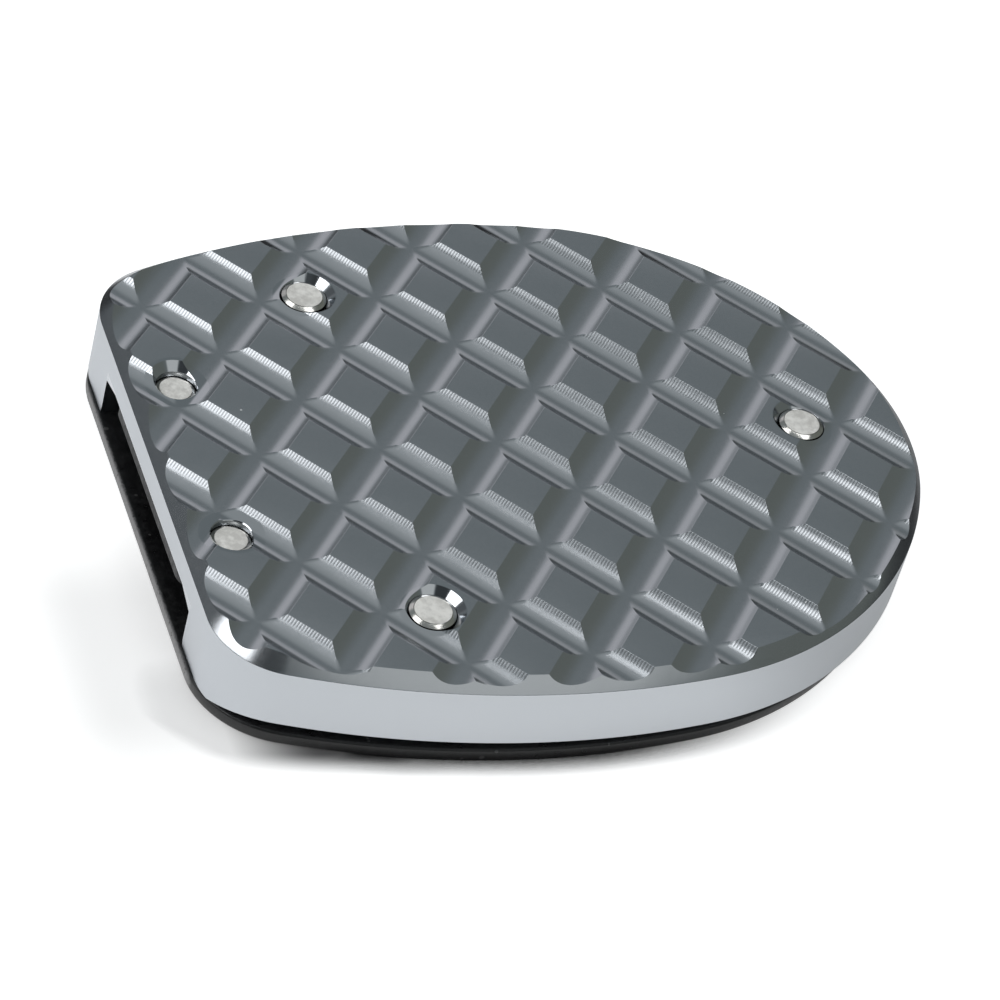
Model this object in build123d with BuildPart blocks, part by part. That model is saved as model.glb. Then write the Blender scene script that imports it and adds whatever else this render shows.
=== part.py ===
"""Kickstand foot enlarger: a milled aluminium foot plate, a sheet clamp plate, a pocket pad and five screws.

Millimetres, +Z up. The part lies as it would on a bench, grip face up, on the clamp plate's outer face.
X runs from the straight mouth edge to the rounded nose, and the part is symmetric about the XZ plane.
"""

import os
from math import acos, asin, atan2, cos, degrees, hypot, radians, sin

from build123d import *

# Foot plate outline, measured from the straight mouth edge
plate_length = 84.4
plate_width = 71.3
plate_thickness = 9.7
widest_from_edge = 38.0
side_radius = 95.0
shoulder_radius = 40.0
nose_radius = 27.5
corner_radius = 9.0
upper_chamfer = 1.45
lower_bevel_height = 1.5
lower_bevel_width = 3.1

# Grip face: two families of ball-nosed grooves that leave flat-topped lands
groove_spacing = 10.0
groove_radius = 4.0
groove_depth = 0.8
groove_angle = 50.0
first_crossing_from_edge = 11.03
grooves_each_side = 5

# Pocket that takes the foot of the stand, open at the mouth edge and at the underside
pocket_length = 54.0
pocket_width = 34.2
pocket_depth = 5.35
pocket_slope_width = 3.2
pocket_slope_drop = 0.8
pocket_corner_radius = 8.0

# Pad under the pocket's roof
pad_thickness = 1.1
pad_end_clearance = 1.0
pad_side_clearance = 0.2
pad_hole_clearance = 0.3
pad_corner_radius = 2.0

# Clamp plate
clamp_thickness = 1.5
clamp_inset = 0.5
clamp_overhang = 0.4
clamp_edge_chamfer = 0.3

# Screws: diameters of shank, head and tip, socket across flats, and how deep each end lies
plate_screw_diameter = 4.9
plate_screw_head = 9.2
plate_screw_tip = 3.9
plate_screw_socket = 3.0
plate_screw_socket_depth = 1.6
plate_screw_tip_below_lands = 0.37
plate_screw_side_from_edge = 22.7
plate_screw_side_inset = 11.85
plate_screw_nose_inset = 12.3
plate_screw_exit_diameter = 6.6

mouth_screw_diameter = 3.9
mouth_screw_head = 7.4
mouth_screw_tip = 3.3
mouth_screw_socket = 2.5
mouth_screw_socket_depth = 1.3
mouth_screw_tip_below_lands = 1.3
mouth_screw_from_edge = 5.3
mouth_screw_from_wall = 5.95
mouth_screw_exit_diameter = 6.0

head_recess = 0.1
head_angle = 90.0
thread_clearance = 0.1
mouth_hole_clearance = 0.2
countersink_clearance = 0.05

# Places worked out from the sizes above
front_x = (clamp_overhang - plate_length) / 2
plate_bottom = clamp_thickness
plate_top = plate_bottom + plate_thickness
pocket_roof = plate_bottom + pocket_depth
widest_x = front_x + widest_from_edge
nose_x = front_x + plate_length

# Arc centres: the shoulder arc is tangent to the side arc and to the nose arc
side_centre = (widest_x, plate_width / 2 - side_radius)
nose_centre = (nose_x - nose_radius, 0)
centre_gap = hypot(nose_centre[0] - side_centre[0], nose_centre[1] - side_centre[1])
side_to_shoulder = side_radius - shoulder_radius
shoulder_to_nose = shoulder_radius - nose_radius
centre_turn = degrees(atan2(nose_centre[1] - side_centre[1], nose_centre[0] - side_centre[0]))
spread = (centre_gap**2 + side_to_shoulder**2 - shoulder_to_nose**2) / (2 * centre_gap * side_to_shoulder)
side_turn = centre_turn + degrees(acos(spread))
shoulder_centre = (
    side_centre[0] + side_to_shoulder * cos(radians(side_turn)),
    side_centre[1] + side_to_shoulder * sin(radians(side_turn)),
)
nose_turn = degrees(atan2(nose_centre[1] - shoulder_centre[1], nose_centre[0] - shoulder_centre[0]))

plate_screw_y = plate_width / 2 - plate_screw_side_inset
plate_screw_places = [
    (front_x + plate_screw_side_from_edge, plate_screw_y),
    (front_x + plate_screw_side_from_edge, -plate_screw_y),
    (nose_x - plate_screw_nose_inset, 0),
]
mouth_screw_y = pocket_width / 2 - mouth_screw_from_wall
mouth_screw_places = [
    (front_x + mouth_screw_from_edge, mouth_screw_y),
    (front_x + mouth_screw_from_edge, -mouth_screw_y),
]


def plate_outline(inset, mouth_corner):
    """Make the D-shaped outline, drawn in by an inset: mouth edge, then side, shoulder and nose arcs."""
    side_end = 90 + degrees(asin((widest_from_edge - inset) / (side_radius - inset)))
    with BuildSketch() as outline:
        with BuildLine():
            CenterArc(nose_centre, nose_radius - inset, -nose_turn, 2 * nose_turn)
            shoulder = CenterArc(shoulder_centre, shoulder_radius - inset, nose_turn, side_turn - nose_turn)
            side = CenterArc(side_centre, side_radius - inset, side_turn, side_end - side_turn)
            mirror([shoulder, side], about=Plane.XZ)
            corner = side @ 1
            Line((corner.X, corner.Y), (corner.X, -corner.Y))
        make_face()
        if mouth_corner > 0:
            fillet(outline.vertices().group_by(Axis.X)[0], radius=mouth_corner)
    return outline.sketch


def build_screw(diameter, head, tip, socket, socket_depth, tip_height):
    """Make one countersunk socket screw standing on its head, with its axis on Z."""
    head_height = (head - diameter) / 2
    tip_chamfer = (diameter - tip) / 2
    with BuildPart() as screw:
        with BuildSketch(Plane.XZ):
            with BuildLine():
                Polyline(
                    (0, head_recess),
                    (head / 2, head_recess),
                    (diameter / 2, head_recess + head_height),
                    (diameter / 2, tip_height - tip_chamfer),
                    (tip / 2, tip_height),
                    (0, tip_height),
                    close=True,
                )
            make_face()
        revolve(axis=Axis.Z)
        with BuildSketch(Plane.XY.offset(head_recess)):
            RegularPolygon(socket / 2, 6, major_radius=False)
        extrude(amount=socket_depth, mode=Mode.SUBTRACT)
    return screw.part


os.makedirs("parts", exist_ok=True)

with BuildPart() as base_plate:
    with BuildSketch(Plane.XY.offset(plate_bottom)):
        add(plate_outline(inset=0, mouth_corner=0))
    extrude(amount=plate_thickness)

    # The lower rim is bevelled round the sides and nose, not along the mouth edge
    underside = base_plate.faces().sort_by(Axis.Z)[0]
    lower_rim = underside.edges().sort_by(Axis.X)[1:]
    chamfer(lower_rim, length=lower_bevel_width, length2=lower_bevel_height, reference=underside)
    with BuildSketch(Plane.XY.offset(plate_bottom)):
        add(plate_outline(inset=0, mouth_corner=corner_radius))
    extrude(amount=plate_thickness, mode=Mode.INTERSECT)
    chamfer(base_plate.faces().sort_by(Axis.Z)[-1].edges(), length=upper_chamfer)

    # Stand pocket, whose roof slopes down a little to its walls
    with BuildSketch(Plane.XY.offset(plate_bottom)) as pocket:
        with Locations((front_x, 0)):
            Rectangle(pocket_length, pocket_width, align=(Align.MIN, Align.CENTER))
        fillet(pocket.vertices().group_by(Axis.X)[-1], radius=pocket_corner_radius)
    extrude(amount=pocket_depth, mode=Mode.SUBTRACT)
    roof_middle = (front_x + pocket_length / 2, 0, pocket_roof)
    roof = base_plate.faces().filter_by(Plane.XY).sort_by_distance(roof_middle)[0]
    wall_edges = roof.edges().sort_by(Axis.X)[1:]
    chamfer(wall_edges, length=pocket_slope_width, length2=pocket_slope_drop, reference=roof)

    # Tapped holes: all are countersunk where the tips show, the plate screws' also at their entry
    with Locations(*[(x, y, plate_top) for x, y in plate_screw_places]):
        CounterSinkHole(
            radius=plate_screw_diameter / 2 + thread_clearance,
            counter_sink_radius=plate_screw_exit_diameter / 2,
            counter_sink_angle=head_angle,
        )
    entry_radius = plate_screw_head / 2 + head_recess - clamp_thickness + countersink_clearance
    with Locations(*[Location((x, y, plate_bottom), (180, 0, 0)) for x, y in plate_screw_places]):
        CounterSinkHole(
            radius=plate_screw_diameter / 2 + thread_clearance,
            counter_sink_radius=entry_radius,
            counter_sink_angle=head_angle,
        )
    with Locations(*[(x, y, plate_top) for x, y in mouth_screw_places]):
        CounterSinkHole(
            radius=mouth_screw_diameter / 2 + mouth_hole_clearance,
            counter_sink_radius=mouth_screw_exit_diameter / 2,
            counter_sink_angle=head_angle,
        )

    # Grip grooves: one row of ball-nosed cuts for each of the two directions
    groove_axis = plate_top - groove_depth + groove_radius
    crossing_x = front_x + first_crossing_from_edge
    crossing_pitch = groove_spacing / sin(radians(groove_angle))
    middle_x = crossing_x + 2 * crossing_pitch
    for turn in (groove_angle, -groove_angle):
        along = (cos(radians(turn)), sin(radians(turn)), 0)
        across = (-sin(radians(turn)), cos(radians(turn)), 0)
        with BuildSketch(Plane((middle_x, 0, groove_axis), x_dir=across, z_dir=along)):
            with GridLocations(groove_spacing, 0, 2 * grooves_each_side + 1, 1):
                Circle(groove_radius)
        extrude(amount=plate_length, both=True, mode=Mode.SUBTRACT)
base_plate.part.label = "base_plate"
export_step(base_plate.part, "parts/base_plate.step")

with BuildPart() as clamp_plate:
    with BuildSketch(Plane((-clamp_inset - clamp_overhang, 0, 0))):
        add(plate_outline(inset=clamp_inset, mouth_corner=corner_radius - clamp_inset))
    extrude(amount=clamp_thickness)
    chamfer(clamp_plate.faces().filter_by(Plane.XY).edges(), length=clamp_edge_chamfer)
    for places, diameter, head in (
        (plate_screw_places, plate_screw_diameter, plate_screw_head),
        (mouth_screw_places, mouth_screw_diameter, mouth_screw_head),
    ):
        with Locations(*[Location((x, y, 0), (180, 0, 0)) for x, y in places]):
            CounterSinkHole(
                radius=diameter / 2 + thread_clearance,
                counter_sink_radius=head / 2 + head_recess + countersink_clearance,
                counter_sink_angle=head_angle,
            )
clamp_plate.part.label = "clamp_plate"
export_step(clamp_plate.part, "parts/clamp_plate.step")

with BuildPart() as pocket_pad:
    with BuildSketch(Plane.XY.offset(pocket_roof)) as pad_sheet:
        with Locations((front_x, 0)):
            Rectangle(
                pocket_length - pocket_slope_width - pad_end_clearance,
                pocket_width - 2 * (pocket_slope_width + pad_side_clearance),
                align=(Align.MIN, Align.CENTER),
            )
        inner_radius = pocket_corner_radius - pocket_slope_width + pad_end_clearance
        fillet(pad_sheet.vertices().group_by(Axis.X)[-1], radius=inner_radius)
        fillet(pad_sheet.vertices().group_by(Axis.X)[0], radius=pad_corner_radius)
    extrude(amount=-pad_thickness)
    with Locations(*[(x, y, pocket_roof) for x, y in mouth_screw_places]):
        Hole(radius=mouth_screw_diameter / 2 + pad_hole_clearance)
pocket_pad.part.label = "pocket_pad"
export_step(pocket_pad.part, "parts/pocket_pad.step")

plate_screw = build_screw(
    plate_screw_diameter,
    plate_screw_head,
    plate_screw_tip,
    plate_screw_socket,
    plate_screw_socket_depth,
    plate_top - plate_screw_tip_below_lands,
)
with BuildPart() as plate_screws:
    with Locations(*plate_screw_places):
        add(plate_screw)
plate_screws.part.label = "plate_screws"
export_step(plate_screws.part, "parts/plate_screws.step")

mouth_screw = build_screw(
    mouth_screw_diameter,
    mouth_screw_head,
    mouth_screw_tip,
    mouth_screw_socket,
    mouth_screw_socket_depth,
    plate_top - mouth_screw_tip_below_lands,
)
with BuildPart() as mouth_screws:
    with Locations(*mouth_screw_places):
        add(mouth_screw)
mouth_screws.part.label = "mouth_screws"
export_step(mouth_screws.part, "parts/mouth_screws.step")
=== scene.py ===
"""Looks of the kickstand foot enlarger: milled foot plate, black clamp plate, pocket pad and screws.

Meshes are worked out in millimetres as numpy grids and then brought to metres, in the frame of the
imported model.
"""

from __future__ import annotations

import logging
import math
from dataclasses import dataclass, field
from enum import Enum
from typing import Any

import bpy
import numpy as np
from mathutils import Euler, Matrix, Vector

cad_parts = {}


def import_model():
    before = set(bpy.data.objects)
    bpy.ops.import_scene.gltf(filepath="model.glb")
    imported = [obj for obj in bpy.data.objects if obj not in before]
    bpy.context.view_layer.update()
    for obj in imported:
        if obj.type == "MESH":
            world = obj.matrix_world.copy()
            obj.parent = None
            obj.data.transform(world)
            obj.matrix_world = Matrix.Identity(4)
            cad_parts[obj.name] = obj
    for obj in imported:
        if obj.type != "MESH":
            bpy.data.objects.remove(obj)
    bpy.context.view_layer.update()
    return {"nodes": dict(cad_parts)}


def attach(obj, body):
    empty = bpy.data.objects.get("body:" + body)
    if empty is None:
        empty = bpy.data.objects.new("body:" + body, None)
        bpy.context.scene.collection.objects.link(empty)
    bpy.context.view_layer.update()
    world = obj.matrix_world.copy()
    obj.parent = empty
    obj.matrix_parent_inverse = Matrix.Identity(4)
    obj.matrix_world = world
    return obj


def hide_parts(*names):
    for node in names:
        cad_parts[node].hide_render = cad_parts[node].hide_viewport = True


LOG = logging.getLogger("foot_enlarger")
MM = 0.001
BODY = "root"
# How far a cutting tool runs past the surface that it cuts, in millimetres.
OVERRUN = 1.0

UP = (0.0, 0.0, 1.0)
BACK = (0.0, 1.0, 0.0)
RIGHT = (1.0, 0.0, 0.0)
LEFT = (-1.0, 0.0, 0.0)

Array = np.ndarray
Triple = tuple[float, float, float]
Colour = tuple[float, float, float, float]


class Cut(Enum):
    """How a tool solid changes the solid that it meets."""

    TAKE_AWAY = "DIFFERENCE"
    KEEP_COMMON = "INTERSECT"


class Slot(Enum):
    """Names of the record's material slots for the pieces here; nothing in the script reads them."""

    ALUMINIUM = "anodised_aluminium"
    COATING = "black_coating"
    STEEL = "stainless_steel"


@dataclass(frozen=True)
class Solid:
    """A closed surface: points in millimetres, and faces as lists of point numbers."""

    points: Array
    faces: list[list[int]]


def loft(rings: Array) -> Solid:
    """Join closed rings into a capped shell: point (i, j) of the grid is point j of ring i.

    Args:
        rings: Array of shape (rings, points, 3), counter-clockwise seen from above, lowest ring first.

    Returns:
        The shell, with flat caps on its first and last ring.
    """
    count, around = rings.shape[:2]
    row = np.arange(around)
    nxt = np.roll(row, -1)
    base = (np.arange(count - 1) * around)[:, None]
    quads = np.stack([base + row, base + nxt, base + around + nxt, base + around + row], axis=-1)
    faces = quads.reshape(-1, 4).tolist()
    faces.append(row[::-1].tolist())
    faces.append((row + (count - 1) * around).tolist())
    return Solid(rings.reshape(-1, 3), faces)


def lathe(profile: Array, centre: tuple[float, float], around: int = 72) -> Solid:
    """Turn a profile about a vertical axis: x = r cos a, y = r sin a, with r and z from the profile.

    Args:
        profile: Array of (radius, height) pairs, lowest first, all radii above zero.
        centre: Place of the axis.
        around: Number of points round the axis.

    Returns:
        The turned solid.
    """
    angle = np.linspace(0.0, 2 * np.pi, around, endpoint=False)
    x = centre[0] + profile[:, :1] * np.cos(angle)
    y = centre[1] + profile[:, :1] * np.sin(angle)
    z = np.broadcast_to(profile[:, 1:], x.shape)
    return loft(np.stack([x, y, z], axis=-1))


def arc_path(arcs: list[tuple[tuple[float, float], float, float, float, int]]) -> tuple[Array, Array]:
    """String arcs together: a point is centre + radius (cos a, sin a), and its normal is (cos a, sin a).

    Args:
        arcs: Each arc's centre, radius, first and last angle in degrees, and number of points.

    Returns:
        Points and outward normals of the closed path. Straight runs join arcs that end facing the same way.
    """
    angles = [np.radians(np.linspace(first, last, count)) for _, _, first, last, count in arcs]
    normals = [np.stack([np.cos(a), np.sin(a)], axis=-1) for a in angles]
    points = [np.array(arc[0]) + arc[1] * n for arc, n in zip(arcs, normals)]
    path = np.concatenate(points)
    facing = np.concatenate(normals)
    apart = np.linalg.norm(path - np.roll(path, -1, axis=0), axis=1) > 1e-6
    return path[apart], facing[apart]


def rings_along(path: tuple[Array, Array], insets: Array, heights: Array) -> Array:
    """Carry a profile round a path: ring i is the path drawn in by inset i along its normals, at height i.

    Args:
        path: Points and outward normals.
        insets: One inset for each ring, or one for each ring and point.
        heights: One height for each ring, or one for each ring and point.

    Returns:
        Array of rings for loft.
    """
    points, normals = path
    inset = np.broadcast_to(np.reshape(insets, (len(insets), -1)), (len(insets), len(points)))
    height = np.broadcast_to(np.reshape(heights, (len(heights), -1)), (len(heights), len(points)))
    flat = points[None] - inset[..., None] * normals[None]
    return np.concatenate([flat, height[..., None]], axis=-1)


def place_solid(name: str, solid: Solid) -> bpy.types.Object:
    """Put a solid into the scene as a mesh object, still in millimetres.

    Args:
        name: Name of the object and of its mesh.
        solid: The surface.

    Returns:
        The new object.
    """
    mesh = bpy.data.meshes.new(name)
    mesh.from_pydata(solid.points.tolist(), [], solid.faces)
    mesh.update()
    thing = bpy.data.objects.new(name, mesh)
    bpy.context.scene.collection.objects.link(thing)
    return thing


def cut_solid(target: bpy.types.Object, tool: Solid, how: Cut) -> None:
    """Cut a target with a tool solid, and leave the result as the target's mesh.

    Args:
        target: Object to cut.
        tool: Closed solid to cut it with.
        how: Whether the tool is taken away or only the common part is kept.
    """
    helper = place_solid("cutting_tool", tool)
    modifier = target.modifiers.new("cut", "BOOLEAN")
    modifier.object = helper
    modifier.operation = how.value
    modifier.solver = "EXACT"
    bpy.context.view_layer.update()
    result = bpy.data.meshes.new_from_object(target.evaluated_get(bpy.context.evaluated_depsgraph_get()))
    target.modifiers.clear()
    before = target.data
    target.data = result
    bpy.data.meshes.remove(before)
    tool_mesh = helper.data
    bpy.data.objects.remove(helper)
    bpy.data.meshes.remove(tool_mesh)


def finish_mesh(thing: bpy.types.Object, name: str, sharp_degrees: float) -> None:
    """Bring a mesh to metres and shade it smooth between edges sharper than an angle.

    Args:
        thing: Object that holds the mesh.
        name: Name for the mesh.
        sharp_degrees: Angle between two faces from which their edge stays sharp.
    """
    mesh = thing.data
    mesh.name = name
    mesh.transform(Matrix.Scale(MM, 4))
    mesh.polygons.foreach_set("use_smooth", np.ones(len(mesh.polygons), dtype=bool))
    mesh.set_sharp_from_angle(angle=math.radians(sharp_degrees))
    mesh.update()


def stand_for(thing: bpy.types.Object, material: bpy.types.Material, node: str) -> None:
    """Give a piece its finish, let it ride on the body, and let it stand for its CAD node.

    Args:
        thing: The piece.
        material: Its finish.
        node: Name of the CAD node.
    """
    thing.data.materials.clear()
    thing.data.materials.append(material)
    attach(thing, BODY)
    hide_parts(node)
    LOG.info("%s: %d faces, stands for %s", thing.name, len(thing.data.polygons), node)


@dataclass(frozen=True)
class Ramp:
    """A smooth change: where it starts and ends, and the values that it takes there and beyond."""

    start: float
    end: float
    at_start: float = 0.0
    at_end: float = 1.0


class Graph:
    """A node tree with short calls for adding and wiring its nodes."""

    def __init__(self, tree: bpy.types.NodeTree) -> None:
        """Keep the tree that nodes are added to."""
        self.tree = tree

    def add(self, kind: str, inputs: dict[Any, Any] | None = None, **settings: Any) -> bpy.types.Node:
        """Add a node, set its properties, and set or wire its inputs.

        Args:
            kind: Blender's name of the node type.
            inputs: Input names or numbers, each with a value or a socket to wire from.
            settings: Properties of the node.

        Returns:
            The new node.
        """
        node = self.tree.nodes.new(kind)
        for key, value in settings.items():
            setattr(node, key, value)
        for key, value in (inputs or {}).items():
            self.feed(node.inputs[key], value)
        return node

    def feed(self, socket: bpy.types.NodeSocket, value: Any) -> None:
        """Wire a socket from another, or set its value.

        Args:
            socket: Input to feed.
            value: A socket to wire from, or a value to set.
        """
        if isinstance(value, bpy.types.NodeSocket):
            self.tree.links.new(value, socket)
        else:
            socket.default_value = value

    def math(self, operation: str, *values: Any) -> bpy.types.NodeSocket:
        """Add a Math node on up to three values and return its output."""
        node = self.add("ShaderNodeMath", dict(enumerate(values)), operation=operation)
        return node.outputs[0]

    def span(
        self, value: Any, low: float, high: float, to_low: float = 0.0, to_high: float = 1.0
    ) -> bpy.types.NodeSocket:
        """Map a value along the smooth step 3 t squared less 2 t cubed, with t its place between two limits.

        Args:
            value: Value to map.
            low: Value where the change starts.
            high: Value where it ends; it may be the smaller one.
            to_low: Result at the start and before it.
            to_high: Result at the end and beyond it.

        Returns:
            The result.
        """
        limits = {0: value, 1: low, 2: high, 3: to_low, 4: to_high}
        node = self.add("ShaderNodeMapRange", limits, interpolation_type="SMOOTHSTEP")
        return node.outputs[0]

    def ramp(self, value: Any, ramp: Ramp) -> bpy.types.NodeSocket:
        """Map a value along a ramp and return the output."""
        return self.span(value, ramp.start, ramp.end, ramp.at_start, ramp.at_end)

    def vector(self, operation: str, first: Any, second: Any) -> bpy.types.Node:
        """Add a Vector Math node on two vectors."""
        return self.add("ShaderNodeVectorMath", {0: first, 1: second}, operation=operation)

    def dot(self, vector: Any, along: Triple) -> bpy.types.NodeSocket:
        """Return the length of a vector along a direction."""
        return self.vector("DOT_PRODUCT", vector, along).outputs["Value"]

    def millimetres(self, position: Any, along: Triple) -> bpy.types.NodeSocket:
        """Return a position's place along a direction in millimetres."""
        return self.math("MULTIPLY", self.dot(position, along), 1.0 / MM)

    def blend(self, factor: Any, first: Any, second: Any) -> bpy.types.NodeSocket:
        """Mix two colours: the first, moved towards the second by the factor's share of the way.

        Args:
            factor: Share of the second colour.
            first: First colour.
            second: Second colour.

        Returns:
            The mixed colour.
        """
        node = self.add("ShaderNodeMix", data_type="RGBA")
        self.feed(node.inputs[0], factor)
        self.feed(node.inputs[6], first)
        self.feed(node.inputs[7], second)
        return node.outputs[2]


def new_group(
    name: str, inputs: dict[str, tuple[str, float]], outputs: dict[str, str]
) -> tuple[bpy.types.NodeTree, Any, Any]:
    """Start a shader node group with named sockets.

    Args:
        name: Name of the group.
        inputs: Each input's socket type and default value; a vector takes no default.
        outputs: Each output's socket type.

    Returns:
        The group's tree, its input node and its output node.
    """
    tree = bpy.data.node_groups.new(name, "ShaderNodeTree")
    for label, (kind, value) in inputs.items():
        socket = tree.interface.new_socket(label, in_out="INPUT", socket_type=kind)
        if kind == "NodeSocketFloat":
            socket.default_value = value
    for label, kind in outputs.items():
        tree.interface.new_socket(label, in_out="OUTPUT", socket_type=kind)
    return tree, tree.nodes.new("NodeGroupInput"), tree.nodes.new("NodeGroupOutput")


@dataclass(frozen=True)
class Grip:
    """The milled grid: two families of ball-nosed grooves, each at an angle to the plate's axis."""

    spacing: float = 10.0
    radius: float = 4.0
    depth: float = 0.8
    angle: float = 50.0
    middle_x: float = -4.8626
    edge_round: float = 0.12
    reach: int = 6
    arc_steps: int = 8
    edge_steps: int = 4

    def across(self, side: int) -> Triple:
        """Return the direction square to a family's grooves, (-side sin a, cos a); side is 1 or -1."""
        turn = math.radians(self.angle)
        return (-side * math.sin(turn), math.cos(turn), 0.0)

    def along(self, side: int) -> Triple:
        """Return the direction of a family's grooves, (cos a, side sin a); side is 1 or -1."""
        turn = math.radians(self.angle)
        return (math.cos(turn), side * math.sin(turn), 0.0)

    def edge_limits(self) -> tuple[float, float]:
        """Work out a groove's rounded edge, whose arc touches the groove's arc and the flat land.

        Its centre lies its own radius below the land, at the sum of both radii from the groove's centre.

        Returns:
            The distances from the groove's middle where the rounded edge starts and ends.
        """
        rise = self.radius - self.depth
        outer = math.sqrt((self.radius + self.edge_round) ** 2 - (rise + self.edge_round) ** 2)
        return outer * self.radius / (self.radius + self.edge_round), outer

    def height(self, away: Array) -> Array:
        """Work out one family's height: a groove arc, a small round over its edge, then the flat land.

        Args:
            away: Distances from the middle of the nearest groove.

        Returns:
            The heights over the lands, all zero or less.
        """
        inner, outer = self.edge_limits()
        groove = self.radius - self.depth - np.sqrt(np.maximum(self.radius**2 - away**2, 0.0))
        past = np.clip(outer - away, 0.0, self.edge_round)
        rounded = -self.edge_round + np.sqrt(self.edge_round**2 - past**2)
        return np.where(away <= inner, groove, np.where(away < outer, rounded, 0.0))

    def stations(self) -> Array:
        """List places across one family: equal angles on a groove's arc, then equal steps over its edge.

        Returns:
            The places, in order, repeated at the grooves' spacing.
        """
        inner, outer = self.edge_limits()
        arc = self.radius * np.sin(np.linspace(0.0, math.asin(inner / self.radius), self.arc_steps))
        edge = np.linspace(inner, outer, self.edge_steps)[1:]
        half = np.concatenate([arc, edge])
        period = np.concatenate([-half[:0:-1], half])
        starts = self.spacing * np.arange(-self.reach, self.reach + 1)
        return (starts[:, None] + period[None]).ravel()

    def block(self, land: float, floor: float) -> Solid:
        """Make a block whose top is the grid: height is the lower of the two families at each place.

        Args:
            land: Height of the lands.
            floor: Height of the block's underside.

        Returns:
            The block, with quads over the crossings split along their ridges.
        """
        s = self.stations()
        count = len(s)
        one, two = np.meshgrid(s, s, indexing="ij")
        signed = s - self.spacing * np.round(s / self.spacing)
        level = self.height(np.abs(signed))
        turn = math.radians(self.angle)
        x = self.middle_x + (two - one) / (2 * math.sin(turn))
        y = (one + two) / (2 * math.cos(turn))
        z = land + np.minimum(level[:, None], level[None, :])
        points = np.stack([x, y, z], axis=-1).reshape(-1, 3)
        number = np.arange(count * count).reshape(count, count)
        corner = [number[:-1, :-1], number[1:, :-1], number[1:, 1:], number[:-1, 1:]]
        middle = (signed[:-1] + signed[1:]) / 2
        near = np.abs(middle) < self.edge_limits()[1]
        crossing = near[:, None] & near[None, :]
        same = (middle[:, None] * middle[None, :]) > 0
        a, b, c, d = [part.ravel() for part in corner]
        cross, alike = crossing.ravel(), same.ravel()
        forward, backward = cross & alike, cross & ~alike
        triangles = np.concatenate([
            np.stack([a, c, b], axis=-1)[forward],
            np.stack([a, d, c], axis=-1)[forward],
            np.stack([a, d, b], axis=-1)[backward],
            np.stack([b, d, c], axis=-1)[backward],
        ])
        quads = np.stack([a, d, c, b], axis=-1)[~cross]
        rim = np.concatenate([number[:-1, 0], number[-1, :-1], number[:0:-1, -1], number[0, :0:-1]])
        low = points[rim] * np.array([1.0, 1.0, 0.0]) + np.array([0.0, 0.0, floor])
        base = len(points) + np.arange(len(rim))
        wall = np.stack([rim, np.roll(rim, -1), np.roll(base, -1), base], axis=-1)
        faces = triangles.tolist() + quads.tolist() + wall.tolist() + [base.tolist()]
        return Solid(np.concatenate([points, low]), faces)


@dataclass(frozen=True)
class Outline:
    """The D-shaped outline: mouth edge with rounded corners, then side, shoulder and nose arcs."""

    front: float = -42.0
    length: float = 84.4
    width: float = 71.3
    widest: float = 38.0
    side_radius: float = 95.0
    shoulder_radius: float = 40.0
    nose_radius: float = 27.5
    corner_radius: float = 9.0
    steps: tuple[int, int, int, int] = (48, 60, 44, 36)

    def centres(self) -> tuple[tuple[float, float], tuple[float, float], tuple[float, float], float, float]:
        """Work out the arcs' centres: the shoulder's lies at the difference of radii from the other two.

        Returns:
            The side, shoulder and nose centres, and the angles in degrees where the arcs meet.
        """
        side = (self.front + self.widest, self.width / 2 - self.side_radius)
        nose = (self.front + self.length - self.nose_radius, 0.0)
        gap = math.hypot(nose[0] - side[0], nose[1] - side[1])
        first = self.side_radius - self.shoulder_radius
        second = self.shoulder_radius - self.nose_radius
        spread = math.acos((gap**2 + first**2 - second**2) / (2 * gap * first))
        side_turn = math.atan2(nose[1] - side[1], nose[0] - side[0]) + spread
        shoulder = (side[0] + first * math.cos(side_turn), side[1] + first * math.sin(side_turn))
        nose_turn = math.atan2(nose[1] - shoulder[1], nose[0] - shoulder[0])
        return side, shoulder, nose, math.degrees(side_turn), math.degrees(nose_turn)

    def path(self) -> tuple[Array, Array]:
        """Draw the outline: nose, shoulder, side and corner arcs, then their mirror images.

        Returns:
            Points and outward normals, counter-clockwise from the nose.
        """
        side, shoulder, nose, side_turn, nose_turn = self.centres()
        run = self.side_radius - self.corner_radius
        back = self.widest - self.corner_radius
        corner = (self.front + self.corner_radius, side[1] + math.sqrt(run**2 - back**2))
        side_end = math.degrees(math.atan2(corner[1] - side[1], corner[0] - side[0]))
        count = self.steps
        upper = [
            (nose, self.nose_radius, -nose_turn, nose_turn, count[0]),
            (shoulder, self.shoulder_radius, nose_turn, side_turn, count[1]),
            (side, self.side_radius, side_turn, side_end, count[2]),
            (corner, self.corner_radius, side_end, 180.0, count[3]),
        ]
        lower = [((c[0], -c[1]), r, 360.0 - last, 360.0 - first, n) for c, r, first, last, n in upper[:0:-1]]
        return arc_path(upper + lower)

    def corner_gap(self, points: Array) -> Array:
        """Work out how far each point lies inside the side arcs carried on to the mouth edge.

        It is the arcs' radius less the point's distance from their centre.

        Args:
            points: Points of the outline.

        Returns:
            One distance for each point, zero ahead of the widest place.
        """
        side = np.array(self.centres()[0])
        upper = np.stack([points[:, 0], np.abs(points[:, 1])], axis=-1)
        gap = self.side_radius - np.linalg.norm(upper - side, axis=1)
        return np.where(points[:, 0] < side[0], np.maximum(gap, 0.0), 0.0)


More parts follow.
